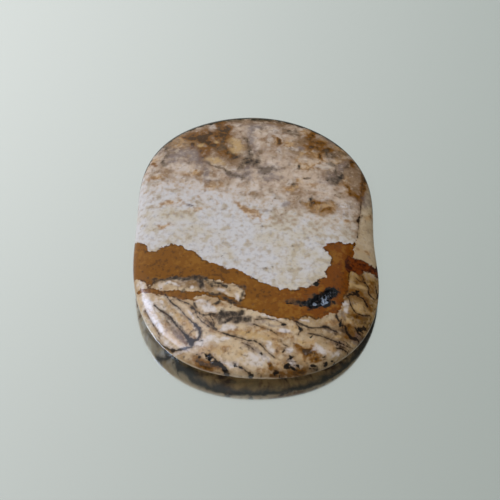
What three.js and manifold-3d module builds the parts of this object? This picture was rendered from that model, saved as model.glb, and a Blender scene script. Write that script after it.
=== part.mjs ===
// A palm stone of picture jasper: one flat, hand-sized cushion of banded, silicified mudstone,
// tumbled and polished. It lies on a small flat spot on its back, with its domed face up.
//
// Millimetres, +Z up. The origin is under the middle of the stone's outline, on the surface that
// it lies on. +Y runs along the stone and +X across it, to the right of a person who holds the
// dark band level and the small open pocket at the lower right.

import * as THREE from 'three';
import { mergeVertices } from 'three/addons/utils/BufferGeometryUtils.js';
import Module from 'manifold-3d';

// Driving dimensions.

// Distance from the heart of the stone to its rim, at equal steps of the compass from +X towards
// +Y. The outline is a barrel: two long, nearly straight sides and two rounded ends.
const RIM_RADII = [16.5, 17.8, 20.5, 21.9, 22.3, 22.1, 20.8, 17.9, 16.8, 18.0, 20.0, 20.9, 20.7, 21.0, 20.3, 18.3];
const FACE_RISE = 3.3; // from the girdle up to the top of the face
const BACK_DROP = 2.7; // from the girdle down to the bottom of the back, before the flat spot
const FACE_FULLNESS = 3.0; // 2 is an even dome, and more is a flatter face with a rounder shoulder
const BACK_FULLNESS = 2.4;
const GIRDLE_SLOPE = -0.051; // the girdle climbs towards -X, so the stone is thinner at +X
const FLAT_SPOT_DEPTH = 0.12; // worn off the bottom of the back

// Flats that tumbling left on the face: the compass angle that each one faces and how far it leans
// from level, in degrees, and its distance from the heart of the stone. The first follows a healed
// crack along the right side, and its ridge is the sharper one.
const FLATS = [
  { compass: -11, lean: 24, distance: 7.59 },
  { compass: -133, lean: 17, distance: 6.47 },
];
const SHOULDER_SHARPNESS = 22; // how crisply a flat meets the dome

// Open places in the face: the middle of each one's mouth, half of its length, width and depth, and
// the compass angle of its length. The first two join into the dark, crystal-lined pocket.
const POCKETS = [
  { x: 8.7, y: -11.0, halfSize: [1.9, 0.75, 0.6], compass: 42 },
  { x: 6.3, y: -11.7, halfSize: [1.6, 0.45, 0.3], compass: 6 },
  { x: -6.2, y: -19.2, halfSize: [0.8, 0.4, 0.35], compass: -50 },
];

const GRID = new THREE.Vector3(32, 40, 10); // divisions across, along and through the stone
const POCKET_DETAIL = 3; // subdivisions of the lumpy ball that a pocket is cut with

const BAND_BROWN = 0x7d5016;
const FINISH = { roughness: 0.15, metalness: 0.0 };

const wasm = await Module();
wasm.setup();

// The rim's distance from the heart: the smoothest closed curve through all the rim radii.
function rimRadius(compass) {
  const count = RIM_RADII.length;
  return RIM_RADII.reduce((sum, radius, step) => {
    const half = compass / 2 - (Math.PI * step) / count;
    const onStep = Math.abs(Math.sin(half)) < 1e-9;
    return sum + radius * (onStep ? 1 : Math.sin(count * half) / (count * Math.tan(half)));
  }, 0);
}

// How many times further from the heart a point lies than the surface does in its direction. The
// dome is a superellipse over the outline, and each flat is blended in with a rounded ridge.
function reach({ x, y, z }) {
  const [rise, fullness] = z > 0 ? [FACE_RISE, FACE_FULLNESS] : [BACK_DROP, BACK_FULLNESS];
  const outward = Math.hypot(x, y) / rimRadius(Math.atan2(y, x));
  const dome = (outward ** fullness + Math.abs(z / rise) ** fullness) ** (1 / fullness);
  let total = dome ** SHOULDER_SHARPNESS;
  for (const { compass, lean, distance } of FLATS) {
    const normal = new THREE.Vector3(0, 0, 1)
      .applyAxisAngle(new THREE.Vector3(0, 1, 0), THREE.MathUtils.degToRad(lean))
      .applyAxisAngle(new THREE.Vector3(0, 0, 1), THREE.MathUtils.degToRad(compass));
    const towardsFlat = normal.x * x + normal.y * y + normal.z * z;
    total += Math.max(towardsFlat / distance, 0) ** SHOULDER_SHARPNESS;
  }
  return total ** (1 / SHOULDER_SHARPNESS);
}

// The tumbled pebble before its flat spot is worn: a gridded box, drawn in to the surface along
// lines to the heart, then bent so that its girdle climbs to one side.
function pebble() {
  const widest = Math.max(...RIM_RADII);
  const box = new THREE.BoxGeometry(1.5 * widest, 1.9 * widest, FACE_RISE + BACK_DROP, GRID.x, GRID.y, GRID.z);
  const place = box.attributes.position;
  const point = new THREE.Vector3();
  for (let i = 0; i < place.count; i += 1) {
    point.fromBufferAttribute(place, i);
    point.divideScalar(reach(point));
    const outward = Math.hypot(point.x, point.y) / rimRadius(Math.atan2(point.y, point.x));
    point.z += BACK_DROP - FLAT_SPOT_DEPTH + GIRDLE_SLOPE * point.x * outward ** 3;
    place.setXYZ(i, point.x, point.y, point.z);
  }
  box.computeBoundingBox();
  const middle = box.boundingBox.getCenter(new THREE.Vector3());
  return box.translate(-middle.x, -middle.y, 0);
}

// Everything below the surface that the stone lies on.
function underTheFlatSpot() {
  const size = 4 * Math.max(...RIM_RADII);
  return new THREE.BoxGeometry(size, size, size).translate(0, 0, -size / 2);
}

// A stretched ball that sits half out of the face, to be cut away from it.
function pocketBall(stone, { x, y, halfSize, compass }) {
  const down = new THREE.Raycaster(new THREE.Vector3(x, y, 2 * FACE_RISE + BACK_DROP), new THREE.Vector3(0, 0, -1));
  const [mouth] = down.intersectObject(new THREE.Mesh(stone));
  const ball = new THREE.IcosahedronGeometry(1, POCKET_DETAIL);
  ball.scale(...halfSize);
  ball.rotateZ(THREE.MathUtils.degToRad(compass));
  return ball.translate(x, y, mouth.point.z);
}

function toSolid(geometry) {
  const bare = geometry.clone();
  bare.deleteAttribute('normal');
  bare.deleteAttribute('uv');
  const merged = mergeVertices(bare);
  return new wasm.Manifold(new wasm.Mesh({
    numProp: 3,
    vertProperties: new Float32Array(merged.attributes.position.array),
    triVerts: new Uint32Array(merged.index.array),
  }));
}

function toGeometry(solid) {
  const { vertProperties, triVerts } = solid.getMesh();
  const geometry = new THREE.BufferGeometry();
  geometry.setAttribute('position', new THREE.BufferAttribute(vertProperties, 3));
  geometry.setIndex(new THREE.BufferAttribute(triVerts, 1));
  geometry.computeVertexNormals();
  return geometry;
}

function stone() {
  const tumbled = pebble();
  let solid = toSolid(tumbled).subtract(toSolid(underTheFlatSpot()));
  for (const pocket of POCKETS) {
    solid = solid.subtract(toSolid(pocketBall(tumbled, pocket)));
  }
  const material = new THREE.MeshStandardMaterial({ color: BAND_BROWN, ...FINISH });
  const mesh = new THREE.Mesh(toGeometry(solid), material);
  mesh.name = 'stone';
  return mesh;
}

const jasper = new THREE.Group();
jasper.add(stone());

export default jasper;
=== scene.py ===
"""A polished palm stone of picture jasper, lying face up on a plain, pale metal table."""
import math

import bmesh
import bpy
import numpy as np
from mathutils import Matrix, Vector, noise


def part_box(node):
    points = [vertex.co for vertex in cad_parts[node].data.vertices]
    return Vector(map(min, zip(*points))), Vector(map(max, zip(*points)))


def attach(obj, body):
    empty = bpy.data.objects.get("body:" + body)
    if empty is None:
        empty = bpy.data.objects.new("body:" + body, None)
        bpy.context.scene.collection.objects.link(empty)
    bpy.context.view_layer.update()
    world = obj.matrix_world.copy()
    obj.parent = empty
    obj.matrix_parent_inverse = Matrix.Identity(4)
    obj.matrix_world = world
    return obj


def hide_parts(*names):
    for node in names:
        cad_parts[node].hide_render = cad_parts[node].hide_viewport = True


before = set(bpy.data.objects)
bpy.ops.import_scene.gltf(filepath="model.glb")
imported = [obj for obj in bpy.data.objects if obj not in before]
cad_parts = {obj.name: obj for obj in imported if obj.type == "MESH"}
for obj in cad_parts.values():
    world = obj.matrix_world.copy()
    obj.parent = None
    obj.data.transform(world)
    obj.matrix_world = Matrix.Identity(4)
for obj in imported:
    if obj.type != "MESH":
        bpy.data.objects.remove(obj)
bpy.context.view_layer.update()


# ---------------------------------------------------------------------------------------------
# The stone. One slab of picture jasper, which is banded, silicified mudstone, sawn thin, tumbled
# until it is a flat cushion with a domed face, and polished. A healed crack left a slanting flat
# along its right side, a softer flat lies at the lower left, and a small open vug breaks the face.
# ---------------------------------------------------------------------------------------------

MM = 0.001
NOISE_SEED = 2  # the beds and stains wander the same way each time

# Its body, in millimetres from the heart of the stone, with the solid's own driving dimensions.
# The rim's distance from the heart is given at equal steps of the compass from +X.
RIM_RADII = [
    16.5, 17.8, 20.5, 21.9, 22.3, 22.1, 20.8, 17.9, 16.8, 18.0, 20.0, 20.9, 20.7, 21.0, 20.3, 18.3,
]
FACE_RISE = 3.3  # from the girdle up to the top of the face
BACK_DROP = 2.7  # from the girdle down to the bottom of the back
FACE_FULLNESS = 3.0  # 2 is an even dome, and more is a flatter face with a rounder shoulder
BACK_FULLNESS = 2.4
GIRDLE_SLOPE = -0.051  # the girdle climbs towards -X
FLAT_SPOT_DEPTH = 0.12  # worn off the bottom of the back
SIDE_FLATS = [(-11, 24, 7.59), (-133, 17, 6.47)]  # compass, lean from level, distance from the heart
SHOULDER_SHARPNESS = 22  # how crisply a flat meets the dome

BOX_SHARES = (1.5, 1.9)  # width and length of the box that is drawn in, in widest rim radii
GRID_STEP = 0.23  # between two vertices of the fine mesh
VUG_MARGIN = 0.5  # the mesh is finer out to this far from a vug's mouth
VUG_DETAIL = 2

# Open places: middle of the mouth, half length, half width, depth, compass angle of the length.
# The second one is a shallow tail of the first.
VUGS = [
    (8.75, -10.15, 2.25, 0.85, 0.55, 40),
    (6.0, -10.85, 1.5, 0.45, 0.18, 4),
    (-6.25, -18.35, 0.75, 0.4, 0.3, -48),
]


def turned(points, middle, compass):
    """Distances of points from middle, along and across a line that runs at that compass angle."""
    angle = math.radians(compass)
    away = points[:, :2] - middle
    along = away[:, 0] * math.cos(angle) + away[:, 1] * math.sin(angle)
    across = away[:, 1] * math.cos(angle) - away[:, 0] * math.sin(angle)
    return along, across


def rim_radius(compass):
    """The smoothest closed curve through all the rim radii."""
    count = len(RIM_RADII)
    total = np.zeros_like(compass)
    for step, radius in enumerate(RIM_RADII):
        half = compass / 2 - math.pi * step / count
        half = np.where(np.abs(np.sin(half)) < 1e-7, 1e-7, half)  # never right on a step
        total += radius * np.sin(count * half) / (count * np.tan(half))
    return total


def outwardness(points):
    """0 at the heart of the stone's outline and 1 at its rim."""
    compass = np.arctan2(points[:, 1], points[:, 0])
    return np.hypot(points[:, 0], points[:, 1]) / rim_radius(compass)


def reach(points):
    """How many times further from the heart each point lies than the surface in its direction."""
    height = points[:, 2]
    upper = height > 0
    rise = np.where(upper, FACE_RISE, BACK_DROP)
    fullness = np.where(upper, FACE_FULLNESS, BACK_FULLNESS)
    dome = (outwardness(points) ** fullness + np.abs(height / rise) ** fullness) ** (1 / fullness)
    total = dome ** SHOULDER_SHARPNESS
    for compass, lean, distance in SIDE_FLATS:
        side, up = math.sin(math.radians(lean)), math.cos(math.radians(lean))
        along, _ = turned(points, (0, 0), compass)
        total += np.maximum((side * along + up * height) / distance, 0) ** SHOULDER_SHARPNESS
    return total ** (1 / SHOULDER_SHARPNESS)


def read(bm):
    """The places of all the vertices, one to a row."""
    return np.array([v.co for v in bm.verts])


def move(bm, points):
    """Puts each vertex at its own row's place."""
    for vert, point in zip(bm.verts, points):
        vert.co = point


def draw_in(bm):
    """Draws the vertices in to the stone's surface, along lines to its heart."""
    points = read(bm)
    move(bm, points / reach(points)[:, None])


def vug_depth(points):
    """How deep the open places are at each point of the face, in millimetres."""
    depth = np.zeros(len(points))
    for x, y, half_length, half_width, deepest, compass in VUGS:
        along, across = turned(points, (x, y), compass)
        openness = 1 - (along / half_length) ** 2 - (across / half_width) ** 2
        depth = np.maximum(depth, deepest * np.sqrt(np.clip(openness, 0, 1)))
    return np.where(points[:, 2] > 0, depth, 0)


noise.seed_set(NOISE_SEED)
widest = max(RIM_RADII)
box_size = (BOX_SHARES[0] * widest, BOX_SHARES[1] * widest, FACE_RISE + BACK_DROP)
bm = bmesh.new()
bmesh.ops.create_cube(bm, size=1)
bmesh.ops.scale(bm, vec=box_size, verts=bm.verts)
for axis in range(3):
    along_axis = [e for e in bm.edges if abs((e.verts[0].co - e.verts[1].co).normalized()[axis]) > 0.9]
    cuts = int(along_axis[0].calc_length() / GRID_STEP)
    bmesh.ops.subdivide_edges(bm, edges=along_axis, cuts=cuts, use_grid_fill=True)
draw_in(bm)

# Round the open places the mesh is finer, except for the shallow tail.
for x, y, half_length, half_width, _, compass in VUGS[:1] + VUGS[2:]:
    along, across = turned(read(bm), (x, y), compass)
    near = (np.abs(along) < half_length + VUG_MARGIN) & (np.abs(across) < half_width + VUG_MARGIN)
    near = {v for v, is_near in zip(bm.verts, near) if is_near and v.co.z > 0}
    edges = [e for e in bm.edges if e.verts[0] in near and e.verts[1] in near]
    bmesh.ops.subdivide_edges(bm, edges=edges, cuts=VUG_DETAIL, use_grid_fill=True)
draw_in(bm)

pebble = read(bm)
height = pebble[:, 2]
rim_share = outwardness(pebble)
place = pebble.copy()
place[:, 2] += BACK_DROP - FLAT_SPOT_DEPTH + GIRDLE_SLOPE * pebble[:, 0] * rim_share ** 3
place[:, 2] = np.maximum(place[:, 2], 0)

# Crystals on the vug's wall break it up into small facets.
CRYSTAL_SIZE = 0.35
CRYSTAL_STEP = 0.12  # how far one facet may stand in front of the next
LUMP_SIZE = 0.3
LUMP_RISE = 0.16
CRYSTAL_EDGE = 0.2  # they fade out where the vug is shallower than this

open_depth = vug_depth(pebble)
for i in np.flatnonzero(open_depth):
    step = noise.cell(Vector(pebble[i] / CRYSTAL_SIZE)) * CRYSTAL_STEP
    lump = noise.noise(Vector(pebble[i] / LUMP_SIZE)) * LUMP_RISE
    place[i, 2] -= max(open_depth[i] + (step + lump) * min(open_depth[i] / CRYSTAL_EDGE, 1), 0)

# The fine mesh is fitted to the box of the solid that it stands for.
low, high = place.min(0), place.max(0)
stone_low, stone_high = (np.array(corner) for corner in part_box("stone"))
place = (place - low) / (high - low) * (stone_high - stone_low) + stone_low
move(bm, place)
bmesh.ops.recalc_face_normals(bm, faces=bm.faces)
for face in bm.faces:
    face.smooth = True

mesh = bpy.data.meshes.new("jasper_stone")
bm.to_mesh(mesh)
bm.free()
stone = bpy.data.objects.new("jasper_stone", mesh)
bpy.context.scene.collection.objects.link(stone)

# The picture in it. Mud settled in beds, cracked, and was healed and stained by iron as it turned
# to silica. Each bed, band, vein and stain runs through the stone on a slant, so each is laid out
# in millimetres from the heart of the face and carried down to the back.
BED_SLANT = (0.5, -1.6)  # how far the beds shift across and along for each millimetre of depth
BED_WAVE = 1.6  # how far they may also wander for each millimetre of depth
BED_WAVE_LENGTH = 9
FAR = 1e9  # further than anything in the stone

depth = np.maximum(-height, 0)
bed = pebble.copy()
bed[:, 0] += BED_SLANT[0] * depth
bed[:, 1] += BED_SLANT[1] * depth
for i in np.flatnonzero(depth):
    wave = noise.noise_vector(Vector(pebble[i] / BED_WAVE_LENGTH)) * BED_WAVE * depth[i]
    bed[i, :2] += wave[:2]


def nearest_on(points, start, end):
    """The nearest place to each point on a straight stretch from start to end."""
    run = np.subtract(end, start, dtype=float)
    share = (points[:, :2] - start) @ run / (run @ run)
    return np.array(start) + np.clip(share, 0, 1)[:, None] * run


def depth_inside(points, outline):
    """Distance in millimetres from each point to a closed outline, negative outside it."""
    nearest = np.full(len(points), FAR)
    inside = np.zeros(len(points), bool)
    for start, end in zip(outline, outline[1:] + outline[:1]):
        foot = nearest_on(points, start, end)
        nearest = np.minimum(nearest, np.hypot(*(points[:, :2] - foot).T))
        crosses = (start[1] > points[:, 1]) != (end[1] > points[:, 1])
        if start[1] != end[1]:
            slope = (end[0] - start[0]) / (end[1] - start[1])
            inside ^= crosses & (points[:, 0] < start[0] + slope * (points[:, 1] - start[1]))
    return np.where(inside, nearest, -nearest)


SPOT_FADE = 0.7  # the larger, the sooner a stain fades from its middle


def soaked(points, spots):
    """How strongly a stain soaks each point: 1 in a spot's middle, and about a half at its edge."""
    clear = np.ones(len(points))
    for x, y, half_length, half_width, compass in spots:
        along, across = turned(points, (x, y), compass)
        clear *= 1 - np.exp(-SPOT_FADE * ((along / half_length) ** 2 + (across / half_width) ** 2))
    return 1 - clear


def keep(name, values):
    """Stores one value, or one place, for each vertex, where the material can read it."""
    kind, field = ("FLOAT_VECTOR", "vector") if values.ndim == 2 else ("FLOAT", "value")
    attribute = mesh.attributes.new(name, kind, "POINT")
    attribute.data.foreach_set(field, values.astype(np.float32).ravel())


keep("bed", bed)

# The brown band: its upper edge from left to right, down along the crack, and back underneath.
BAND = [
    (-22, 1.5), (-16.6, -0.4), (-15.9, -0.9), (-15.2, -1.3), (-14.9, -2.1), (-14.4, -2.6),
    (-13.7, -2.5), (-13.1, -2.0), (-12.2, -1.65), (-11.3, -1.35), (-10.1, -1.7), (-9.7, -2.3),
    (-8.9, -2.5), (-8.2, -2.9), (-7.3, -4.0), (-6.5, -4.4), (-5.7, -4.55), (-5.1, -5.0), (-4.4, -5.1),
    (-4.0, -5.6), (-2.9, -5.7), (-2.1, -6.0), (-1.3, -6.4), (-0.7, -6.9), (0.1, -7.3), (0.8, -7.8),
    (2.6, -8.35), (3.2, -8.85), (4.1, -8.7), (5.2, -8.95), (5.8, -8.5), (6.5, -8.5), (7.1, -8.2),
    (7.9, -8.2), (7.9, -7.6), (9.4, -6.6), (9.2, -6.0), (9.5, -5.2), (10.0, -4.7), (10.15, -3.5),
    (9.9, -2.9), (9.2, -2.7), (9.1, -1.6), (10.3, -1.1), (11.2, -0.95), (12.1, -1.0), (13.1, -0.6),
    (13.8, 0.1), (13.4, -1.9), (13.15, -3.1), (12.7, -5.6), (12.4, -7.2), (12.25, -8.6), (11.7, -9.9),
    (11.3, -11.3), (10.7, -12.1), (9.7, -12.2), (8.7, -13.1), (7.9, -13.2), (7.0, -12.85), (5.8, -13.0),
    (5.2, -13.6), (4.2, -13.4), (2.6, -13.2), (1.2, -12.8), (0.2, -12.3), (-2.2, -11.7), (-3.2, -11.1),
    (-4.6, -10.6), (-6.0, -9.95), (-7.8, -9.6), (-9.0, -10.1), (-9.8, -10.4), (-10.7, -9.8),
    (-12.5, -9.25), (-14.6, -8.7), (-17.5, -8.7), (-22, -8.5), (-22, -8.1), (-15.2, -8.2),
    (-13.9, -8.2), (-12.7, -8.55), (-10.6, -8.6), (-9.8, -9.0), (-7.3, -8.95), (-6.3, -9.45),
    (-4.6, -9.5), (-3.5, -10.0), (-2.4, -10.8), (-1.75, -10.2), (-1.7, -9.2), (-2.2, -8.4),
    (-3.2, -8.0), (-4.3, -8.0), (-5.3, -7.5), (-7.0, -7.1), (-8.8, -7.0), (-10.4, -6.7), (-12.5, -7.0),
    (-13.4, -7.2), (-13.7, -7.8), (-14.9, -7.8), (-15.2, -7.1), (-16.3, -6.6), (-22, -4.5),
]
keep("band", depth_inside(bed, BAND))

# Past the crack everything has slipped, so the flank is a bed of its own, with its own dark band.
CRACK = [
    (15.6, 14.5), (15.3, 10.5), (14.75, 6.2), (14.3, 3.4), (13.8, 0.1), (12.8, -3.1), (12.2, -6.4),
    (12.0, -8.6), (11.7, -9.9), (11.2, -11.6), (11.4, -13.2), (11.9, -14.4), (12.8, -15.2),
    (14.5, -15.6),
]
FLANK = CRACK + [(24, -16), (24, 14.5)]
FLANK_BAND = [
    (12.3, -2.9), (14.2, -2.75), (15.6, -3.1), (18, -2.7), (20, -3), (20, -4.9), (16.0, -4.6),
    (15.0, -4.6), (14.3, -5.3), (13.2, -5.5), (12.0, -5.2),
]
keep("flank", depth_inside(bed, FLANK))
keep("flank_band", depth_inside(bed, FLANK_BAND))

# Below the band lies a warmer bed. Its upper limit is hidden in the band.
LOWER_BED = [
    (-30, -3.5), (-10, -5), (-4, -7), (0, -9.5), (4, -11), (8, -11), (11, -8), (20, -5), (30, -30),
    (-30, -30),
]
keep("lower_bed", depth_inside(bed, LOWER_BED))

# A dark brown bed makes up the back, partly painted shade: it darkens the shaded underside that the table
# mirrors, the contact shade under the rim, and a dark line along the far rim. It climbs into the rim at
# the far end.
BACK_SHADE_DROP = 0.3  # below the girdle, on the near side
BACK_SHADE_CLIMB = 2.1
BACK_SHADE_CURVE = 0.6  # under 1, it climbs soonest near the middle
BACK_SHADE_TILT = 0.13  # it falls away towards the lower left, from this far out
BACK_SHADE_TILT_START = 5

climb = BACK_SHADE_CLIMB * (np.clip(pebble[:, 1], 0, None) / widest) ** BACK_SHADE_CURVE
leftwards = np.clip(-pebble[:, 0] - BACK_SHADE_TILT_START, 0, None)
nearness = np.clip(-pebble[:, 1] / BACK_SHADE_TILT_START, 0, 1)
fall = BACK_SHADE_TILT * leftwards * nearness
keep("back_bed_and_shade", climb - fall - BACK_SHADE_DROP - height)

# Two long lobes at the lower left, rimmed in black.
LOBE_INNER = [
    (-11.9, -9.4), (-11.2, -10.6), (-10.4, -11.2), (-9.4, -12.5), (-8.3, -13.6), (-7.7, -14.4),
    (-7.45, -15.1), (-7.8, -15.8), (-8.4, -16.0), (-9.3, -15.4), (-9.9, -14.6), (-10.8, -13.5),
    (-11.7, -12.2), (-12.9, -11.3), (-14.0, -10.3), (-13.4, -9.6), (-12.6, -9.3),
]
LOBE_OUTER = [
    (-14.1, -10.5), (-12.9, -11.5), (-11.8, -12.4), (-10.9, -13.7), (-10.0, -14.8), (-9.3, -15.7),
    (-8.6, -16.2), (-8.5, -16.7), (-9.3, -16.9), (-10.7, -17.1), (-11.6, -16.8), (-12.6, -16.1),
    (-14.2, -14.2), (-15.6, -11.5), (-15.2, -10.6),
]
keep("lobes", np.maximum(depth_inside(bed, LOBE_INNER), depth_inside(bed, LOBE_OUTER)))

# Thin dark veins: half of the width, and the points that each one runs through.
VEINS = [
    (0.07, [(-12.3, -9.2), (-11.7, -10.0), (-11.2, -10.6), (-10.4, -11.2), (-9.4, -12.5), (-8.3, -13.6)]),
    (0.16, [(-8.3, -13.6), (-7.7, -14.4), (-7.45, -15.1), (-7.8, -15.8), (-8.3, -16.0)]),
    (0.27, [(-8.4, -15.9), (-9.0, -15.7), (-9.5, -15.1)]),
    (0.22, [(-9.0, -15.7), (-8.7, -16.3), (-8.6, -16.7)]),
    (0.13, [(-9.5, -15.1), (-10.0, -14.5), (-10.9, -13.4), (-11.5, -12.4)]),
    (0.06, [(-11.5, -12.4), (-12.3, -11.8), (-13.1, -11.2), (-13.7, -10.6)]),
    (0.15, [(-8.6, -16.8), (-9.4, -16.9), (-10.6, -17.1), (-11.4, -16.9)]),
    (0.09, [(-11.4, -16.9), (-12.5, -16.2), (-13.5, -15.2)]),
    (0.02, [(-14.9, -11.2), (-14.0, -13.0), (-12.8, -14.9)]),
    (0.06, [(-10.8, -9.9), (-9.6, -10.5), (-8.7, -11.0), (-8.3, -11.6), (-7.9, -12.6), (-7.3, -13.4),
            (-6.4, -14.1), (-5.3, -14.9), (-4.2, -15.3)]),
    (0.08, [(-4.8, -15.1), (-3.4, -15.7), (-1.8, -16.2), (-1.1, -16.5), (-0.3, -16.5), (0.4, -16.9),
            (1.0, -17.5), (1.6, -18.2), (2.3, -18.7)]),
    (0.07, [(-8.9, -11.2), (-8.0, -11.8), (-7.3, -12.5), (-6.6, -13.1), (-6.1, -13.9), (-5.2, -14.8)]),
    (0.1, [(-7.6, -12.3), (-6.8, -12.6), (-6.0, -12.35), (-5.5, -12.5)]),
    (0.05, [(-6.2, -12.7), (-5.8, -13.4), (-5.6, -14.1)]),
    (0.08, [(5.2, -13.6), (6.2, -14.1), (7.1, -14.5), (8.4, -14.4)]),
    (0.13, [(8.4, -14.4), (9.2, -14.1), (9.9, -14.5), (10.6, -14.6)]),
    (0.06, [(6.8, -15.3), (8.4, -15.5), (9.6, -15.8), (10.5, -16.0)]),
    (0.1, [(10.5, -16.0), (11.5, -16.1), (12.4, -16.2)]),
    (0.07, [(10.6, -16.8), (11.3, -16.7), (12.1, -16.8)]),
    (0.04, [(-0.4, -14.1), (0.6, -14.6), (1.9, -15.0), (2.6, -15.5)]),
    (0.04, [(-0.3, -13.5), (1.2, -13.3), (2.6, -13.5), (3.4, -14.0)]),
    (0.17, [(3.45, -14.05), (3.8, -14.15)]),
    (0.05, [(5.3, -14.1), (5.9, -14.7), (5.5, -15.5)]),
    (0.15, [(5.85, -14.9), (5.95, -14.8)]),
    (0.05, [(3.2, -16.5), (3.6, -17.0), (4.1, -17.2), (3.4, -18.0)]),
    (0.14, [(-7.65, -18.2), (-7.55, -18.2)]),
    (0.17, [(-6.1, -18.0), (-5.6, -18.6), (-5.1, -19.1)]),
    (0.24, [(-5.1, -19.2), (-4.6, -19.7), (-4.0, -20.3), (-3.2, -21.2)]),
    (0.12, [(-2.4, -19.7), (-2.0, -19.95), (-1.5, -20.2)]),
    (0.1, [(-1.1, -20.5), (-0.8, -20.5)]),
    (0.05, [(-1.9, -16.7), (-1.3, -17.0), (-0.7, -17.3), (-0.4, -17.8)]),
    (0.08, [(3.6, -19.4), (3.9, -19.6)]),
    (0.07, [(3.9, -19.1), (4.1, -18.9), (4.9, -18.5)]),
    (0.1, [(3.7, -19.6), (4.2, -19.8), (5.0, -19.9)]),
    (0.08, [(5.2, -19.4), (5.3, -19.6)]),
    (0.12, [(2.3, -20.25), (2.8, -20.3)]),
    (0.16, [(3.2, -20.9), (4.2, -20.9)]),
    (0.04, [(6.9, -19.6), (7.6, -19.5), (8.1, -19.35)]),
    (0.04, [(8.8, -18.8), (9.1, -18.75)]),
    (0.08, [(8.7, -18.2), (9.0, -18.1)]),
    (0.22, [(11.2, -13.2), (11.25, -13.5)]),
    (0.1, [(10.6, -12.3), (10.9, -12.9), (11.2, -13.2)]),
    (0.16, [(10.3, -10.4), (10.45, -10.5)]),
    (0.2, [(8.0, -7.7), (8.1, -8.0)]),
    (0.12, [(12.1, -9.2), (12.6, -8.7), (13.2, -8.6)]),
    (0.3, [(13.2, -8.4), (13.7, -8.3)]),
    (0.13, [(13.7, -8.6), (14.2, -8.7), (14.6, -8.9), (15.0, -9.7)]),
    (0.08, [(12.4, -9.3), (12.7, -10.3), (13.2, -11.2), (14.4, -11.3), (15.3, -10.9)]),
    (0.08, [(14.4, -5.4), (14.8, -6.2), (15.3, -6.9), (15.2, -7.8), (15.9, -8.2)]),
    (0.06, [(13.4, -5.9), (14.1, -6.3), (14.7, -6.2)]),
    (0.1, [(16.3, -6.2), (16.5, -7.4), (16.9, -8.4)]),
    (0.18, [(11.8, -13.6), (12.0, -14.4), (12.6, -15.0), (13.6, -14.9)]),
    (0.3, [(14.0, -13.4), (14.5, -13.0)]),
    (0.1, [(13.2, -13.4), (13.6, -14.0), (14.2, -14.2)]),
    (0.01, [(15.1, 12.9), (15.0, 11.6), (14.95, 10.0), (14.75, 8.6), (14.6, 6.0), (14.3, 3.4),
            (13.9, 0.5)]),
    (0.25, [(14.3, 3.9), (14.15, 3.2)]),
]

# For each vertex, the nearest place on a vein with that vein's half width, and how far away it is.
vein_foot = np.full((len(bed), 3), FAR)
vein_gap = np.full(len(bed), FAR)
for half_width, points in VEINS:
    for start, end in zip(points, points[1:]):
        foot = nearest_on(bed, start, end)
        gap = np.hypot(*(bed[:, :2] - foot).T)
        closer = gap < vein_gap
        vein_gap[closer] = gap[closer]
        vein_foot[closer, :2] = foot[closer]
        vein_foot[closer, 2] = half_width
keep("vein_foot", vein_foot)
keep("vein_gap", vein_gap)

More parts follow.
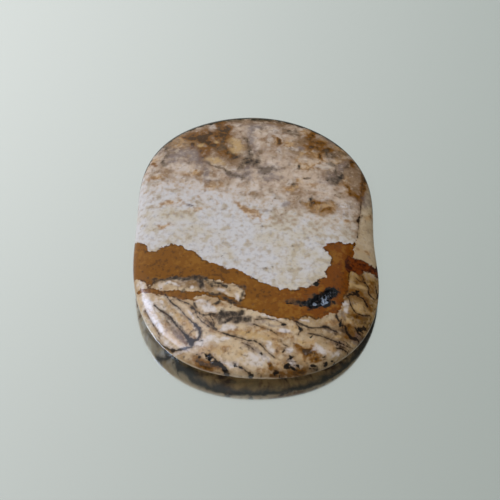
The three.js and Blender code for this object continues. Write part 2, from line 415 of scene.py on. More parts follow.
# Stains: the middle, half length, half width and compass angle of each spot.
WASH = [
    (-6.5, 16.5, 4.5, 2.8, -10), (-7, 16.2, 3.4, 1.8, -20), (-11, 16.5, 2, 1.5, 0),
    (-12.5, 14.5, 2, 1.2, 80), (-3, 12.5, 2.6, 1.4, -25), (10.5, 16.5, 3, 2.2, -60),
    (12.5, 12, 3, 1.5, 60), (6.5, 15, 2.4, 1.8, 60), (9, 5, 2.6, 1.4, 0), (14, 9, 3, 1, 80),
    (-3.5, 20.5, 2.5, 0.7, 5), (2, 20.6, 4, 0.8, -3), (12, -14, 2.5, 1.4, 45),
    (13.5, -8.5, 2.6, 1.3, 20), (4.5, -20, 3.4, 0.5, 5), (-7, -19, 2.3, 0.6, -20),
    (-8.2, -8, 3.4, 0.8, -12), (-10.7, -14.7, 2.6, 0.5, -50),
]
OCHRE = [
    (-10.5, 17, 1.2, 0.8, 0), (-11, 15.6, 0.8, 0.5, -30), (-9, 15.9, 0.9, 0.4, 90),
    (-14.2, 13, 0.9, 0.4, -30), (-14.2, 10.3, 0.8, 0.5, 20), (-9, 10.6, 1.4, 0.6, 0),
    (2.8, 16.7, 0.8, 0.5, -60), (4.8, 16.4, 0.8, 0.8, 0), (7.6, 15, 1.3, 0.7, -50),
    (9.2, 13.6, 1.4, 0.7, 60), (6.1, 13.8, 1.1, 0.5, 60), (7.3, 12, 1.4, 0.8, 0),
    (9.8, 17.5, 0.9, 0.6, -40), (11.6, 17, 1, 0.6, -45), (12.3, 15.4, 1.1, 0.6, -80),
    (11.4, 13.4, 0.9, 0.5, 0), (7.6, 19, 1.2, 0.7, 0), (13, 8.2, 0.9, 0.6, 45), (12.3, 9.8, 1, 0.7, 60),
    (-1.9, 4.6, 1.4, 0.4, -50), (-1, 3.6, 0.9, 0.4, -40), (0.2, 3.1, 0.7, 0.3, -50),
    (1.4, 2.2, 0.6, 0.4, 0), (9.2, 4.6, 1.6, 1, 5), (7.7, 5.4, 0.8, 0.5, 0), (6.3, 9.4, 0.8, 0.6, 60),
    (8.5, 8.3, 1.1, 0.5, 0), (5, 7.7, 1.2, 0.5, 0), (-6, 8.3, 1.4, 0.5, 0), (-11.8, 5.4, 1.5, 0.4, 0),
    (-8.2, 4.3, 1.2, 0.4, 0), (-12.5, 1.6, 1, 0.4, 0), (12.5, 2.6, 0.7, 0.4, 20),
    (15.6, 4.4, 1, 0.5, 60), (14.8, -1.4, 1, 0.4, 15), (-6.7, -17.5, 1.2, 0.6, -20),
    (-7.6, -19, 1.1, 0.3, -20), (2.8, -17.2, 1.4, 0.5, -70), (1.1, -20.2, 1.2, 0.4, 5),
    (3.1, -19.3, 0.8, 0.6, 0), (5.8, -18, 1.3, 0.5, -50), (7.6, -18.4, 1, 0.5, 10),
    (10.2, -13.1, 1, 0.4, 30), (9.6, -17.2, 1, 0.5, 30), (1, -15.2, 1.6, 0.7, -10),
    (-1.8, -15.4, 1.6, 0.5, -10), (4, -15.5, 1.2, 0.5, -10), (7.2, -16.4, 1.2, 0.5, -15),
    (12.5, -13, 0.8, 0.5, 35), (-4.2, -17.1, 1.2, 0.5, -15), (-5.4, -14.6, 1.2, 0.5, -20),
    (-10, -13, 2, 0.4, -50), (-9, -14.6, 1.1, 0.4, -50), (-11.8, -14, 1.3, 0.4, -52),
    (-10.4, -15.6, 1.6, 0.6, -50), (-8.9, -14.6, 1.1, 0.5, -50), (-4.8, -11.3, 1, 0.4, -10),
]
RUST = [
    (-8, 17.6, 1.6, 1, 10), (-9.6, 17.2, 0.9, 0.4, 0), (-7, 16.2, 1.4, 0.8, 80),
    (-7.3, 14.4, 1.5, 0.5, 90), (-5.7, 15.6, 1.3, 0.8, 20), (-4.8, 17.7, 1.6, 1.1, 70),
    (-4.4, 14.3, 1.4, 0.7, -35), (-4.1, 19.1, 0.9, 0.4, 80), (-5.1, 20.4, 0.6, 0.4, 90),
    (-6.3, 18.4, 1.2, 0.4, 0), (-9, 15.6, 0.7, 0.3, 90), (-14.3, 12.6, 0.6, 0.3, -30),
    (8.2, 16.2, 1.2, 0.7, 0), (9.2, 16.8, 0.8, 0.5, 60), (10.4, 15.5, 0.8, 0.5, 20),
    (7.9, 18.2, 0.8, 0.5, 80), (3, 16.7, 0.7, 0.3, -60), (9.2, 14, 0.8, 0.3, 85),
    (13.7, 13.6, 0.7, 0.4, 90), (15, 10.2, 2.7, 0.4, 83), (14.4, 7.7, 0.6, 0.4, 90),
    (13.1, 8, 0.7, 0.5, -60), (8.4, 5.6, 0.7, 0.3, 0), (9.4, 4.3, 0.6, 0.3, 10),
    (-6.6, -19.3, 1.2, 0.35, -20), (-5.4, -19.4, 0.8, 0.3, -38), (3, -20.3, 0.9, 0.3, 5),
    (5.4, -20.3, 1, 0.3, 5), (4.2, -20.7, 1.2, 0.3, 0), (6.7, -17.5, 0.6, 0.5, 40),
    (8, -18.5, 0.8, 0.4, 15), (5.7, -17.2, 0.8, 0.25, -20), (1.8, -19.8, 0.5, 0.3, -60),
    (12.5, -13.8, 0.7, 0.5, 40), (12.8, -14.8, 1, 0.3, 25), (13.4, -8.4, 0.7, 0.5, 20),
    (14.6, -8.9, 0.4, 0.3, 0), (15.1, -9.7, 0.5, 0.3, -60), (15.7, -6.5, 0.8, 0.35, 70),
    (14.2, -5.9, 0.6, 0.4, 30), (13.3, -11.4, 0.9, 0.25, 0), (-1, -11.7, 1.1, 0.35, -5),
    (-4.2, -10, 1, 0.35, -20), (-8.6, -10, 0.8, 0.2, -30), (-9.6, -15.9, 0.7, 0.2, -50),
    (-8.5, -15.5, 0.5, 0.2, -50),
]
BUFF = [
    (-3, 15.4, 1.5, 1.1, -70), (-5.9, 12.9, 1.4, 0.6, -10), (-5.4, 16.4, 0.4, 0.35, 0),
    (-7.9, 16, 0.6, 0.4, 0), (12.9, -6.9, 0.9, 0.4, 80), (14, -7, 0.7, 0.4, 0),
    (13.7, -10.4, 0.9, 0.5, 10), (12.4, -12.6, 0.6, 0.4, 30), (-1.3, -15.6, 1.2, 0.4, -10),
    (0.8, -16.2, 1.2, 0.4, -15), (4.6, -14.6, 1.1, 0.4, -5), (5.8, -16.3, 0.7, 0.3, 0),
    (-5.4, -17.6, 0.8, 0.5, -20), (-2.1, -18, 0.9, 0.5, -10), (-13.4, -9.8, 1.2, 0.35, -20),
    (-10.2, -12.6, 1.3, 0.25, -50), (-8.6, -14.4, 0.9, 0.25, -50), (10.9, -15.2, 0.7, 0.3, 0),
    (13.1, -15.6, 0.5, 0.2, 30),
]
CHALK = [
    (-3.3, 11.6, 1.2, 0.6, -30), (3.6, 14.3, 1.3, 0.6, 85), (5.4, 15.2, 0.8, 0.5, 0),
    (1.8, 16.4, 1.2, 0.4, 85), (2.9, 18.3, 1, 0.6, 0), (9.3, 12.2, 1.2, 0.6, 0),
    (9.4, 8.3, 1.3, 0.8, 10), (12.4, 5.4, 0.9, 0.6, 60), (5, 9.2, 1, 0.5, 70),
    (-0.2, 16.8, 0.7, 0.5, 0), (-6.2, 19.5, 0.8, 0.5, 0), (-13.3, 14.2, 0.7, 0.4, 30),
    (-7.7, -16.6, 1, 0.6, -25), (-9.8, -17.3, 1.4, 0.25, 5), (-3.5, -19.4, 1.5, 0.6, -15),
    (0, -18.9, 1.5, 0.8, -5), (4.6, -19.3, 0.8, 0.5, 0), (4.2, -17.9, 0.7, 0.35, 30),
    (-6.4, -11.6, 1.3, 0.5, -15), (-7.3, -10.6, 0.8, 0.35, 0), (12, -10.8, 1.2, 0.5, 80),
    (-15.7, -7.6, 0.8, 0.5, -60), (-13.2, -8, 0.6, 0.4, 90), (-11.4, -7.8, 0.9, 0.25, 0),
    (-8.6, -8.6, 0.6, 0.2, -5), (-2.4, -9.9, 0.8, 0.3, -60), (-4.6, -8.9, 0.9, 0.3, -15),
    (3.9, -15, 1, 0.4, 0), (8.3, -17.3, 1.2, 0.5, -10), (10.7, -17.4, 0.8, 0.3, 30),
    (-4, -14.6, 1.3, 0.4, 5), (-6.2, -15.9, 0.9, 0.5, -10), (-4.4, -15.9, 1, 0.35, -10),
    (1.7, -17.3, 0.9, 0.35, -40), (-14.5, -10.2, 1.4, 0.6, -45), (-12.8, -10.6, 1.2, 0.3, -50),
    (-8.7, -12.6, 1.3, 0.3, -50), (-13.4, -13.2, 1.8, 0.6, -55), (-11.9, -16.2, 1, 0.3, -45),
    (6.4, -13.2, 0.8, 0.25, -5), (1.6, -13, 1.3, 0.25, -5),
]
SMOKE = [
    (-9.5, 14, 2, 1.2, 0), (-12, 13.3, 1.3, 0.8, 80), (-8, 12.4, 1.5, 0.6, -80),
    (-7, 10.6, 1.6, 0.5, 90), (-2.4, 10, 2, 0.6, -15), (-1, 11, 1.5, 0.5, 80),
    (-0.8, 16.4, 1.8, 0.5, -70), (1.5, 11.3, 1.4, 0.9, 10), (2.2, 9.7, 1.3, 0.7, 0),
    (-0.8, 18.3, 1.2, 0.5, 90), (1, 19.6, 2, 0.6, 0), (11, 10.3, 1.5, 1.2, 30),
    (12.2, 12.8, 1.1, 0.7, 60), (10.6, 17.8, 1, 0.6, -40), (-14, 15, 1, 0.5, 60),
    (6.4, 15.2, 0.5, 0.5, 0), (-9.2, 5, 0.6, 0.3, 0), (4, 5.2, 0.8, 0.4, 0), (0.8, 3.7, 0.7, 0.3, 0),
    (15.3, 7, 1.5, 0.7, 60), (-4.8, -13, 1, 0.6, -10), (-2.2, -13, 1.8, 0.5, -5),
    (-3.3, -13.8, 1.8, 0.35, 0), (-0.3, -13.9, 0.8, 0.3, 0), (0.2, -18, 0.8, 0.35, -10),
    (-1.2, -17.1, 0.7, 0.4, 0), (-3.2, -19.4, 0.5, 0.3, 0), (-10.5, -15, 1.5, 0.4, -50),
    (-7.5, -8, 1.5, 0.4, -60), (-9.2, -7, 2.4, 0.4, 0), (-2, -8.5, 0.8, 0.4, -40),
    (11.4, -12, 0.8, 0.4, -30), (9.8, -14.5, 1, 0.3, 0), (11.2, -16.4, 1, 0.35, -10),
    (13.5, -14.8, 0.8, 0.4, 30), (2, -14, 1.6, 0.25, -12),
]
UMBER = [
    (-5.3, 15, 1, 0.5, 20), (7.1, 9.7, 0.5, 0.3, 0), (6, 11.6, 0.5, 0.2, 80), (5.5, 8.4, 0.3, 0.2, 60),
    (7.5, 6.1, 0.7, 0.25, 90), (-4.7, 15.8, 1.2, 0.2, 85), (-1.2, 13.3, 1.3, 0.5, 80),
    (0.2, 12.8, 1.1, 0.45, 75), (-0.5, 12.4, 1.1, 0.6, 0), (-0.8, 14.7, 1.4, 0.25, -65),
    (-1.6, 16.6, 0.9, 0.3, -60), (1.7, 11, 1.1, 0.6, 0), (5.3, 18.3, 1, 0.5, -20),
    (5.6, 19.3, 0.5, 0.25, 80), (10.2, 14.3, 1.3, 0.3, 90), (11, 14.5, 0.7, 0.4, 70),
    (10.3, 12.5, 0.6, 0.4, 0), (11, 11.2, 0.8, 0.25, -75), (10.8, 9.8, 0.8, 0.7, 0),
    (11.7, 10.2, 1.1, 0.5, 60), (12.7, 12.7, 0.8, 0.3, 60), (12.4, 15.3, 0.8, 0.35, 10),
    (-6, 11.9, 1.2, 0.2, -30), (-4.6, 11.1, 0.7, 0.25, -20), (-3.1, 10.1, 1, 0.25, -20),
    (-2.1, 11.5, 0.7, 0.25, 60), (-1.8, 9.4, 0.5, 0.25, 90), (-3.1, 13.4, 0.9, 0.2, 15),
    (-12.9, 15.3, 0.8, 0.3, 90), (-12.6, 13.8, 1, 0.2, 80), (-12.8, 12.3, 0.5, 0.35, 0),
    (-9.2, 5, 0.4, 0.15, -8), (-3.4, 20.7, 1.3, 0.35, 5), (0.3, 21, 1, 0.3, 0), (3.4, 20.8, 1, 0.3, -5),
    (-11, -7, 2.4, 0.2, 0), (-8, -7.6, 1.1, 0.3, -40), (-7.3, -8.5, 0.7, 0.25, -85),
    (-10, -8.7, 0.4, 0.25, 90), (-5.7, -8, 0.7, 0.25, -30), (-5.4, -9.5, 0.9, 0.2, -10),
    (-3.9, -10.1, 1.1, 0.25, -20), (-1.7, -9.6, 1.1, 0.25, 85), (-12.1, -11.9, 1, 0.3, -45),
    (-10.4, -13.8, 1.2, 0.25, -50), (-9.2, -15.4, 0.9, 0.4, -40), (-8.6, -16.2, 0.6, 0.35, -70),
    (-7.8, -14.1, 0.8, 0.2, -50), (-7.6, -15.2, 0.7, 0.25, 90), (-3.1, -12.8, 0.7, 0.35, 0),
    (-1.8, -12.3, 0.8, 0.3, 0), (-1.3, -13.2, 1.1, 0.35, -5), (-3.2, -13.7, 1.6, 0.35, 5),
    (-4.9, -12.9, 0.9, 0.6, 0), (-6.2, -12.5, 0.6, 0.2, 0), (-5.9, -14, 0.7, 0.2, -50),
    (-5.1, -10.9, 0.5, 0.25, 20), (16.5, -7.6, 0.5, 0.25, 80), (5.5, -10.6, 1.7, 0.45, 5),
    (7.5, -10.1, 0.9, 0.3, 35), (9.5, -14.3, 0.8, 0.3, 20), (12.1, -16, 1, 0.12, -10),
    (11.3, -16.8, 0.8, 0.12, 5), (8.5, -15.6, 1.4, 0.1, -12), (14, -13.5, 0.5, 0.35, 50),
    (11.9, -14.2, 0.4, 0.35, 0), (10.5, -14.8, 0.4, 0.25, 0), (14.7, -11.2, 0.6, 0.2, 10),
    (-9.4, -6.9, 1.4, 0.25, 0), (-6.8, -7.2, 1, 0.25, -10), (-4.7, -7.8, 1, 0.25, -30),
    (-2.5, -8.3, 0.8, 0.2, -30), (-13.7, -7.3, 0.5, 0.25, 60), (-3.4, -10.6, 0.9, 0.2, -35),
    (-8, -11.2, 0.8, 0.2, -55),
]
SPECKS = [
    (-6.3, -18.3, 0.4, 0.35, -60), (-5.3, -19.2, 0.7, 0.25, -42), (-4.4, -20, 0.6, 0.2, -35),
    (-7.6, -18.3, 0.2, 0.2, 0), (-2, -20, 0.5, 0.2, -25), (-0.9, -20.6, 0.3, 0.25, 0),
    (-0.8, -21.2, 0.35, 0.2, 0), (-2.9, -19.6, 0.5, 0.15, -20), (0.2, -18.1, 0.3, 0.15, -20),
    (2.6, -20.3, 0.4, 0.2, 0), (4.4, -18.7, 0.6, 0.13, 30), (3.7, -19.5, 0.3, 0.22, 0),
    (4.6, -19.9, 0.7, 0.16, -10), (5.3, -19.5, 0.25, 0.2, 90), (7.5, -19.5, 0.6, 0.14, 15),
    (9.1, -18.8, 0.3, 0.18, 40), (10.1, -18.3, 0.3, 0.15, 30), (8.1, -7.8, 0.3, 0.2, 60),
    (10.4, -10.4, 0.25, 0.2, 0), (4.4, -11.2, 0.4, 0.15, 0), (6, -11.2, 0.4, 0.15, 0),
    (6.5, -10.5, 0.6, 0.1, 0), (5.9, -14.8, 0.25, 0.25, 0), (3.6, -14, 0.35, 0.2, -10),
    (11.2, -13.2, 0.4, 0.25, 90), (14, -13.6, 0.5, 0.3, 40), (7.5, -15.7, 0.35, 0.1, 20),
    (1.4, -15.8, 0.3, 0.1, -20), (13.5, -8.2, 0.35, 0.25, 20), (11.1, -16.1, 0.4, 0.1, 0),
]

# Stains creep along the grain, so their outlines wander.
STAIN_WANDER = [(2.0, 0.55), (0.7, 0.22)]  # wave length and how far it moves the outline
wandering = bed.copy()
for i in range(len(bed)):
    for wave_length, shift in STAIN_WANDER:
        wandering[i] += noise.noise_vector(Vector(bed[i] / wave_length)) * shift
stains = {"wash": WASH, "ochre": OCHRE, "rust": RUST, "buff": BUFF,
          "chalk": CHALK, "smoke": SMOKE, "umber": UMBER, "specks": SPECKS}
for name, spots in stains.items():
    keep(name, soaked(wandering, spots))

# Where the vug is dark, and pale crystals in it that are partly their own colour and partly painted
# glints. Neither goes through to the back.
VUG_STAIN = [
    (8.7, -10.1, 2.3, 0.85, 38), (10.1, -8.9, 0.65, 0.55, 0), (9.2, -11.0, 0.6, 0.45, 20),
    (6.9, -10.8, 1.0, 0.4, 6), (-6.3, -18.35, 0.7, 0.45, -50),
]
# Pale patches where the crystals catch the light: partly the crystals' own colour, partly painted glints.
DRUSE_AND_GLINTS = [
    (7.8, -10.8, 0.75, 0.22, 26), (8.9, -10.2, 0.6, 0.26, -20), (9.0, -10.7, 0.5, 0.2, 10),
    (9.5, -9.5, 0.6, 0.2, 50),
]
keep("vug", soaked(bed, VUG_STAIN) * (height > 0))
keep("druse_and_glints", soaked(bed, DRUSE_AND_GLINTS) * (height > 0))


def linear(hex_colour):
    """An sRGB hex colour as Blender's linear red, green, blue and alpha."""
    channels = [int(hex_colour[i:i + 2], 16) / 255 for i in (1, 3, 5)]
    return [c / 12.92 if c <= 0.04045 else ((c + 0.055) / 1.055) ** 2.4 for c in channels] + [1.0]


def add(tree, kind, settings=None, **links):
    """Adds a node with its settings, and links or sets its inputs by name or by place."""
    node = tree.nodes.new(kind)
    for name, value in (settings or {}).items():
        setattr(node, name, value)
    for name, value in links.items():
        key = int(name[2:]) if name.startswith("at") else name.replace("_", " ")
        socket = node.inputs[key]
        if isinstance(value, bpy.types.NodeSocket):
            tree.links.new(value, socket)
        else:
            socket.default_value = value
    return node


def new_material(name):
    material = bpy.data.materials.new(name)
    material.use_nodes = True
    material.node_tree.nodes.clear()
    return material, material.node_tree


# Polished picture jasper: opaque, very fine silica, tumbled with ever finer grit. To the eye it has
# a clear, wet-looking gloss over a matt picture: iron stained it in ochres and browns on a pale,
# sandy ground, and manganese in grey and black.
jasper, tree = new_material("polished_picture_jasper")
bed_place = add(tree, "ShaderNodeAttribute", {"attribute_name": "bed"}).outputs["Vector"]
across_stone, along_stone = add(tree, "ShaderNodeSeparateXYZ", Vector=bed_place).outputs[:2]
beds = ("band", "flank", "flank_band", "lower_bed", "back_bed_and_shade", "lobes")
laid_out = {}
for name in (*beds, *stains, "vug", "druse_and_glints", "vein_gap"):
    laid_out[name] = add(tree, "ShaderNodeAttribute", {"attribute_name": name}).outputs["Fac"]


LUMP_SHARE = 0.6  # a lump's size as a share of the noise's own wave length


def grain(size, detail, roughness, shift, stretch=1.0, place=bed_place):
    """Mottling that varies about 0, whose lumps measure about that many millimetres."""
    moved = add(tree, "ShaderNodeVectorMath", {"operation": "MULTIPLY_ADD"},
                at0=place, at1=(1 / stretch, 1, 1), at2=(shift, shift, shift))
    lumps = add(tree, "ShaderNodeTexNoise",
                Vector=moved.outputs[0], Scale=LUMP_SHARE / size, Detail=detail, Roughness=roughness)
    centred = add(tree, "ShaderNodeMath", {"operation": "SUBTRACT"}, at0=lumps.outputs["Fac"], at1=0.5)
    return centred.outputs[0]


def mixed(*pairs, start=0.0):
    """The sum of several values, each times its weight."""
    total = start
    for value, weight in pairs:
        added = add(tree, "ShaderNodeMath", {"operation": "MULTIPLY_ADD"},
                    at0=value, at1=weight, at2=total)
        total = added.outputs[0]
    return total


def lay(under, colour, level, low, high, share=1.0):
    """Lays a colour over another: none of it where the level is below low, and share above high."""
    cover = add(tree, "ShaderNodeMapRange", {"interpolation_type": "SMOOTHSTEP"},
                Value=level, From_Min=low, From_Max=high, To_Min=0.0, To_Max=share)
    under, colour = (linear(c) if isinstance(c, str) else c for c in (under, colour))
    blend = add(tree, "ShaderNodeMix", {"data_type": "RGBA"},
                at0=cover.outputs["Result"], at6=under, at7=colour)
    return blend.outputs[2]


sand = grain(0.22, 1.0, 0.5, 0.0)
tan_flecks = grain(0.36, 2.0, 0.5, 13.0)
grey_flecks = grain(0.34, 2.0, 0.5, 29.0)
dark_flecks = grain(0.32, 2.0, 0.55, 87.0)
light_flecks = grain(0.42, 2.0, 0.55, 43.0)
pale_mottle = grain(0.85, 1.0, 0.5, 3.0)
brown_mottle = grain(0.8, 1.0, 0.5, 17.0)
patches = grain(1.3, 4.0, 0.6, 57.0, 1.3)
clouds = grain(3.2, 3.0, 0.6, 31.0)
fray = grain(0.6, 5.0, 0.65, 71.0)

# The pale bed: white to lavender sand. It turns brown towards its far end, and it is painted whiter
# towards the left as painted light from the window.
pale_patches_and_painted_light = mixed((clouds, 1.0), (patches, 0.5), (across_stone, 0.005))
pale_bed = lay("#c5c0bb", "#c0b5a2", pale_patches_and_painted_light, -0.1, 0.12)
pale_bed = lay(pale_bed, "#ab9878", mixed((brown_mottle, 1.0), (patches, 0.4)), 0.03, 0.22, 0.6)
far_bed = lay("#baa38c", "#806040", mixed((patches, 1.0), (clouds, 1.0)), -0.1, 0.18, 0.85)
far_bed = lay(far_bed, "#d0bfae", pale_mottle, -0.02, 0.2, 0.6)
far_bed = lay(far_bed, "#664c2c", brown_mottle, 0.02, 0.22, 0.5)
far_end = mixed(
    (along_stone, 1.0), (across_stone, 0.25), (clouds, 7.0), (patches, 7.0), (tan_flecks, 9.0))
colour = lay(pale_bed, far_bed, far_end, 1.0, 9.5)

# The warm bed below the band: tan and cream.
warm_bed = lay("#c3aa87", "#9c7b52", mixed((patches, 1.0), (clouds, 0.6)), -0.08, 0.14, 0.8)
warm_bed = lay(warm_bed, "#88704a", mixed((across_stone, 1.0), (patches, 12.0)), 3.0, 11.0, 0.55)
colour = lay(colour, warm_bed, mixed((laid_out["lower_bed"], 1.0), (fray, 0.6)), -0.1, 0.1)

# The lobes are smoother than the bed they lie in, pale along their edges.
lobe_fill = lay("#bfa480", "#9f8158", patches, -0.08, 0.12, 0.8)
lobe_fill = lay("#cabca8", lobe_fill, mixed((laid_out["lobes"], 1.0), (fray, 2.0)), 0.0, 0.7)
colour = lay(colour, lobe_fill, laid_out["lobes"], -0.02, 0.1)

# Past the crack: smooth beige above its band, olive and tan blocks below.
blocks = lay("#a1804f", "#5b3f14", mixed((patches, 1.0), (fray, 0.5)), -0.06, 0.1, 0.9)
flank_bed = lay("#b49d7b", "#c6b192", mixed((clouds, 1.0), (tan_flecks, 0.5)), -0.06, 0.1)
flank_bed = lay(blocks, flank_bed, along_stone, -5.2, -4.2)
colour = lay(colour, flank_bed, laid_out["flank"], -0.03, 0.05)

# Stains: iron in ochres and browns, bleached chalky places, and a thin grey smoke of manganese.
wash = mixed((laid_out["wash"], 1.0), (patches, 1.2), (light_flecks, -0.5))
colour = lay(colour, "#6f4f2a", wash, 0.1, 1.0, 0.78)
wander = mixed((fray, 0.6), (brown_mottle, 0.7))
broken = mixed(
    (fray, 1.5), (brown_mottle, 2.0), (tan_flecks, 2.0), (light_flecks, -1.5), start=1.08)
ochre = mixed((laid_out["ochre"], broken), (wander, 0.6))
ochre_colour = lay("#b89465", "#8c6231", mixed((tan_flecks, 1.0), (brown_mottle, 1.0)), -0.08, 0.16)
colour = lay(colour, ochre_colour, ochre, 0.1, 1.15, 0.85)
rust = mixed((laid_out["rust"], broken), (wander, 0.6))
colour = lay(colour, "#71460b", rust, 0.05, 0.75, 0.96)
colour = lay(colour, "#33210a", mixed((rust, 1.0), (patches, 2.0), (dark_flecks, 1.0)), 0.65, 1.3, 0.85)
buff = mixed((laid_out["buff"], 1.0), (wander, 1.0))
colour = lay(colour, "#b99866", buff, 0.3, 0.9, 0.85)
chalk = mixed((laid_out["chalk"], 1.0), (wander, 1.0), (tan_flecks, -1.0))
chalk_colour = lay("#d2c8c0", "#bdac9b", far_end, 5.0, 9.0)
colour = lay(colour, chalk_colour, chalk, 0.25, 1.0, 0.85)
smoke = mixed((laid_out["smoke"], 1.0), (wander, 1.2), (light_flecks, -0.9))
colour = lay(colour, "#6f6462", smoke, 0.1, 0.95, 0.6)

# Grains: tan and grey ones everywhere, and brown and pale ones where iron has been.
grainy = lay("#000000", "#ffffff", far_end, 1.0, 8.0)
grainy = lay(grainy, "#ffffff", laid_out["lower_bed"], -0.5, 0.5)
tan_grains = mixed((tan_flecks, 1.0), (laid_out["rust"], -0.25))
grey_grains = mixed((grey_flecks, 1.0), (grainy, -0.1), (laid_out["rust"], -0.25))
pale_grains = mixed((light_flecks, 1.0), (grainy, 0.2), (laid_out["rust"], -0.25))
brown_grains = mixed((dark_flecks, 1.0), (grainy, 0.2))
colour = lay(colour, "#a08768", tan_grains, -0.02, 0.2, 0.4)
colour = lay(colour, "#8e888a", grey_grains, 0.03, 0.24, 0.4)
colour = lay(colour, "#c6b69f", pale_grains, 0.2, 0.42, 0.35)
colour = lay(colour, "#4f3b25", brown_grains, 0.23, 0.45, 0.45)

# The band: ochre at the left, redder and darker towards the crack, with a dark skin at its edge.
band_edge = mixed((laid_out["band"], 1.0), (fray, 1.4), (sand, 0.4))
band_fill = lay("#78490a", "#703a03", mixed((across_stone, 1.0), (clouds, 12.0)), -4.0, 13.0)
band_fill = lay(band_fill, "#8c5c19", mixed((patches, 1.0), (tan_flecks, 0.6)), 0.02, 0.18, 0.65)
band_fill = lay(band_fill, "#4a2c08", mixed((dark_flecks, 1.0), (patches, -0.7)), 0.04, 0.22, 0.65)
band_skin = lay(band_fill, "#2b1908", mixed((patches, 1.0), (dark_flecks, 0.8)), -0.08, 0.12, 0.75)
band_fill = lay(band_skin, band_fill, band_edge, 0.08, 0.35)
colour = lay(colour, band_fill, band_edge, -0.05, 0.05)
flank_band_edge = mixed((laid_out["flank_band"], 1.0), (fray, 2.2))
flank_band_fill = lay("#6a3008", "#351405", mixed((patches, 1.0), (dark_flecks, 0.8)), -0.1, 0.15)
flank_band_fill = lay("#2a1207", flank_band_fill, flank_band_edge, 0.0, 0.4)
colour = lay(colour, flank_band_fill, flank_band_edge, -0.1, 0.25)

# Manganese lies over all of them, in soft brown clouds that are darkest towards the near end.
umber = mixed((laid_out["umber"], 1.0), (wander, 1.2), (light_flecks, -1.0))
colour = lay(colour, "#574632", umber, 0.1, 0.9, 0.7)
umber_core = mixed((umber, 1.0), (dark_flecks, 2.3), (patches, 1.0), (along_stone, -0.014))
colour = lay(colour, "#211b17", umber_core, 0.52, 1.3, 0.85)

# The bed of the back: dark brown, darkest at its top, which is painted shade along the rim and under it.
back_bed_and_shade = mixed((laid_out["back_bed_and_shade"], 1.0), (fray, 1.2))
own_place = add(tree, "ShaderNodeTexCoord").outputs["Object"]
in_mm = add(tree, "ShaderNodeVectorMath", {"operation": "SCALE"}, at0=own_place, Scale=1 / MM)
body_place = in_mm.outputs[0]
back_patches = grain(2.6, 5.0, 0.62, 23.0, place=body_place)
back_streaks = grain(0.6, 3.0, 0.6, 47.0, 2.5, place=body_place)
back_colour_and_shade = lay("#c0965f", "#482b11", mixed((back_patches, 1.0), (back_streaks, 0.5)), -0.08, 0.1)
back_colour_and_shade = lay(back_colour_and_shade, "#8a7450", mixed((back_streaks, 1.0), (back_patches, -0.8)), 0.06, 0.24, 0.7)
back_colour_and_shade = lay(back_colour_and_shade, "#5e3c18", dark_flecks, 0.02, 0.2, 0.5)
# Painted shade: near-black where the back bed meets the rim.
back_colour_and_shade = lay("#2f281a", back_colour_and_shade, back_bed_and_shade, 0.3, 0.9)
colour = lay(colour, back_colour_and_shade, back_bed_and_shade, -0.1, 0.12)

# Veins: the true distance to the nearest one, so that a hair-thin line stays whole between two
# vertices. They swell and thin along their length. The crisp black specks lie over them.
foot = add(tree, "ShaderNodeAttribute", {"attribute_name": "vein_foot"}).outputs["Vector"]
half_width = add(tree, "ShaderNodeSeparateXYZ", Vector=foot).outputs[2]
flat_place = add(tree, "ShaderNodeVectorMath", {"operation": "MULTIPLY"}, at0=bed_place, at1=(1, 1, 0))
flat_foot = add(tree, "ShaderNodeVectorMath", {"operation": "MULTIPLY"}, at0=foot, at1=(1, 1, 0))
to_vein = add(tree, "ShaderNodeVectorMath", {"operation": "DISTANCE"},
              at0=flat_place.outputs[0], at1=flat_foot.outputs[0])
least_gap = mixed((laid_out["vein_gap"], 1.0), start=-GRID_STEP)
gap = add(tree, "ShaderNodeMath", {"operation": "MAXIMUM"}, at0=to_vein.outputs["Value"], at1=least_gap)
swell = mixed((fray, 4.0), start=0.9)
swollen = add(tree, "ShaderNodeMath", {"operation": "MULTIPLY"}, at0=half_width, at1=swell)
inside_vein = mixed(
    (gap.outputs[0], -1.0), (swollen.outputs[0], 1.0), (sand, 0.25), (dark_flecks, 0.2))
colour = lay(colour, "#6d4f30", inside_vein, -0.4, 0.0, 0.5)
colour = lay(colour, "#1a1009", inside_vein, -0.09, 0.07, 0.92)
specks = mixed((laid_out["specks"], 1.0), (wander, 1.0), (fray, 0.8), (dark_flecks, 1.0))
colour = lay(colour, "#15100b", specks, 0.42, 0.66, 0.95)

# The vug: blue-black, with pale blue-grey crystals that are partly their own colour and partly painted
# glints, where they would catch the light.
vug_dark = mixed((laid_out["vug"], 1.0), (fray, 1.2), (dark_flecks, 0.8))
crystals_and_glints = mixed((laid_out["druse_and_glints"], 1.0), (sand, 1.5), (light_flecks, 1.5))
colour = lay(colour, "#131416", vug_dark, 0.35, 0.7)
# Painted glints: pale blue-grey laid where the crystals would catch the light.
colour = lay(colour, "#838d99", crystals_and_glints, 0.6, 1.0)

# The polish: quartz's index of refraction, and grains that stand a little proud.
POLISH_GRAIN_HEIGHT = 0.02
bump = add(tree, "ShaderNodeBump", Height=sand, Distance=POLISH_GRAIN_HEIGHT * MM, Strength=0.15)
shader = add(tree, "ShaderNodeBsdfPrincipled", Base_Color=colour, Roughness=0.13, IOR=1.54,
             Specular_IOR_Level=0.22, Normal=bump.outputs[0])
add(tree, "ShaderNodeOutputMaterial", Surface=shader.outputs[0])

mesh.materials.append(jasper)
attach(stone, "root")
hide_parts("stone")


# ---------------------------------------------------------------------------------------------
# The table: a plain, level top of pale metal, brushed to a satin finish. It isn't part of the
# stone, which only lies on it.
# ---------------------------------------------------------------------------------------------

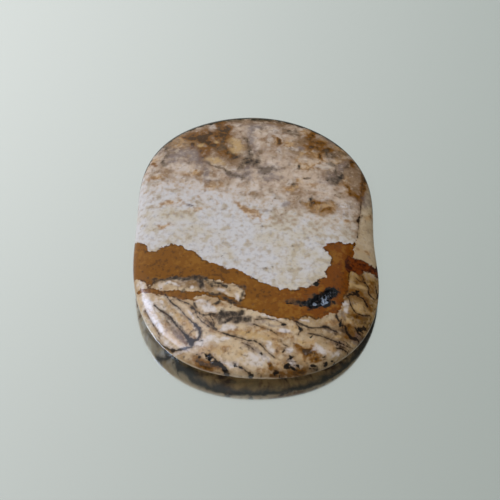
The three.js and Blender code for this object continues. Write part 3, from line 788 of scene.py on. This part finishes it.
TABLE_REACH = 3.0  # metres from the stone to the table's edge
bm = bmesh.new()
bmesh.ops.create_grid(bm, x_segments=1, y_segments=1, size=TABLE_REACH)
table_mesh = bpy.data.meshes.new("table_top")
bm.to_mesh(table_mesh)
bm.free()
table = bpy.data.objects.new("table_top", table_mesh)
bpy.context.scene.collection.objects.link(table)

# Satin metal: it mirrors the room and the stone, slightly blurred.
satin, tree = new_material("pale_satin_metal")
shader = add(tree, "ShaderNodeBsdfPrincipled",
             Base_Color=linear("#dfe4e1"), Metallic=0.97, Roughness=0.12)
add(tree, "ShaderNodeOutputMaterial", Surface=shader.outputs[0])
table_mesh.materials.append(satin)


# ---------------------------------------------------------------------------------------------
# Light and camera: a tall window to the left, a wide panel overhead, a faint glow from above and
# from the right, and an even, pale room that darkens towards the front.
# ---------------------------------------------------------------------------------------------

def soft_light(name, towards, distance, size, power, colour):
    """A wide lamp that hangs that far away in that direction and shines at the stone."""
    data = bpy.data.lights.new(name, "AREA")
    data.shape = "RECTANGLE"
    data.size, data.size_y = size
    data.energy = power
    data.color = linear(colour)[:3]
    light = bpy.data.objects.new(name, data)
    light.location = Vector(towards).normalized() * distance
    light.rotation_euler = Vector(towards).to_track_quat("Z", "Y").to_euler()
    bpy.context.scene.collection.objects.link(light)
    return light


soft_light("window", (-0.514, 0.128, 0.848), 1.0, (0.17, 0.36), 4.3, "#d3dfff")
soft_light("ceiling_panel", (-0.35, -0.55, 0.75), 1.0, (0.8, 0.8), 2.4, "#f8f7fb")
ceiling_glow = soft_light("ceiling_glow", (-0.35, -0.55, 0.75), 1.1, (0.8, 0.8), 0.9, "#f8f7fb")
wall_glow = soft_light("wall_glow", (0.935, 0.2, 0.25), 1.0, (0.45, 0.5), 0.9, "#fff2f0")
for glow in (ceiling_glow, wall_glow):
    glow.visible_glossy = False  # it only fills in, and nothing mirrors it

ROOM_STRENGTH = 1.06
world = bpy.data.worlds.new("pale_room")
world.use_nodes = True
tree = world.node_tree
towards_room = add(tree, "ShaderNodeTexCoord").outputs["Generated"]
rightwards, backwards, upwards = add(tree, "ShaderNodeSeparateXYZ", Vector=towards_room).outputs
room = lay("#ffffff", "#b4b9b6", rightwards, -0.3, 0.3)
room = lay(room, "#9da19c", upwards, 0.72, 0.95, 0.5)
room = lay("#55544e", room, mixed((upwards, 1.0), (rightwards, -0.6)), 0.05, 0.45)
room = lay("#787771", room, backwards, -0.5, 0.2)
tree.links.new(room, tree.nodes["Background"].inputs["Color"])
tree.nodes["Background"].inputs["Strength"].default_value = ROOM_STRENGTH
bpy.context.scene.world = world
bpy.context.scene.view_settings.view_transform = "Standard"

CAMERA_ELEVATION = math.radians(56)
CAMERA_DISTANCE = 0.240
FRAME_WIDTH = 0.069  # what the frame takes in at that distance
AIM = Vector((-0.845, -1.295, 2.8)) * MM

camera_data = bpy.data.cameras.new("camera")
camera_data.lens = camera_data.sensor_width * CAMERA_DISTANCE / FRAME_WIDTH
camera_data.clip_start = 0.01
camera = bpy.data.objects.new("camera", camera_data)
towards_camera = Vector((0, -math.cos(CAMERA_ELEVATION), math.sin(CAMERA_ELEVATION)))
camera.location = AIM + towards_camera * CAMERA_DISTANCE
camera.rotation_euler = towards_camera.to_track_quat("Z", "Y").to_euler()
bpy.context.scene.collection.objects.link(camera)
bpy.context.scene.camera = camera
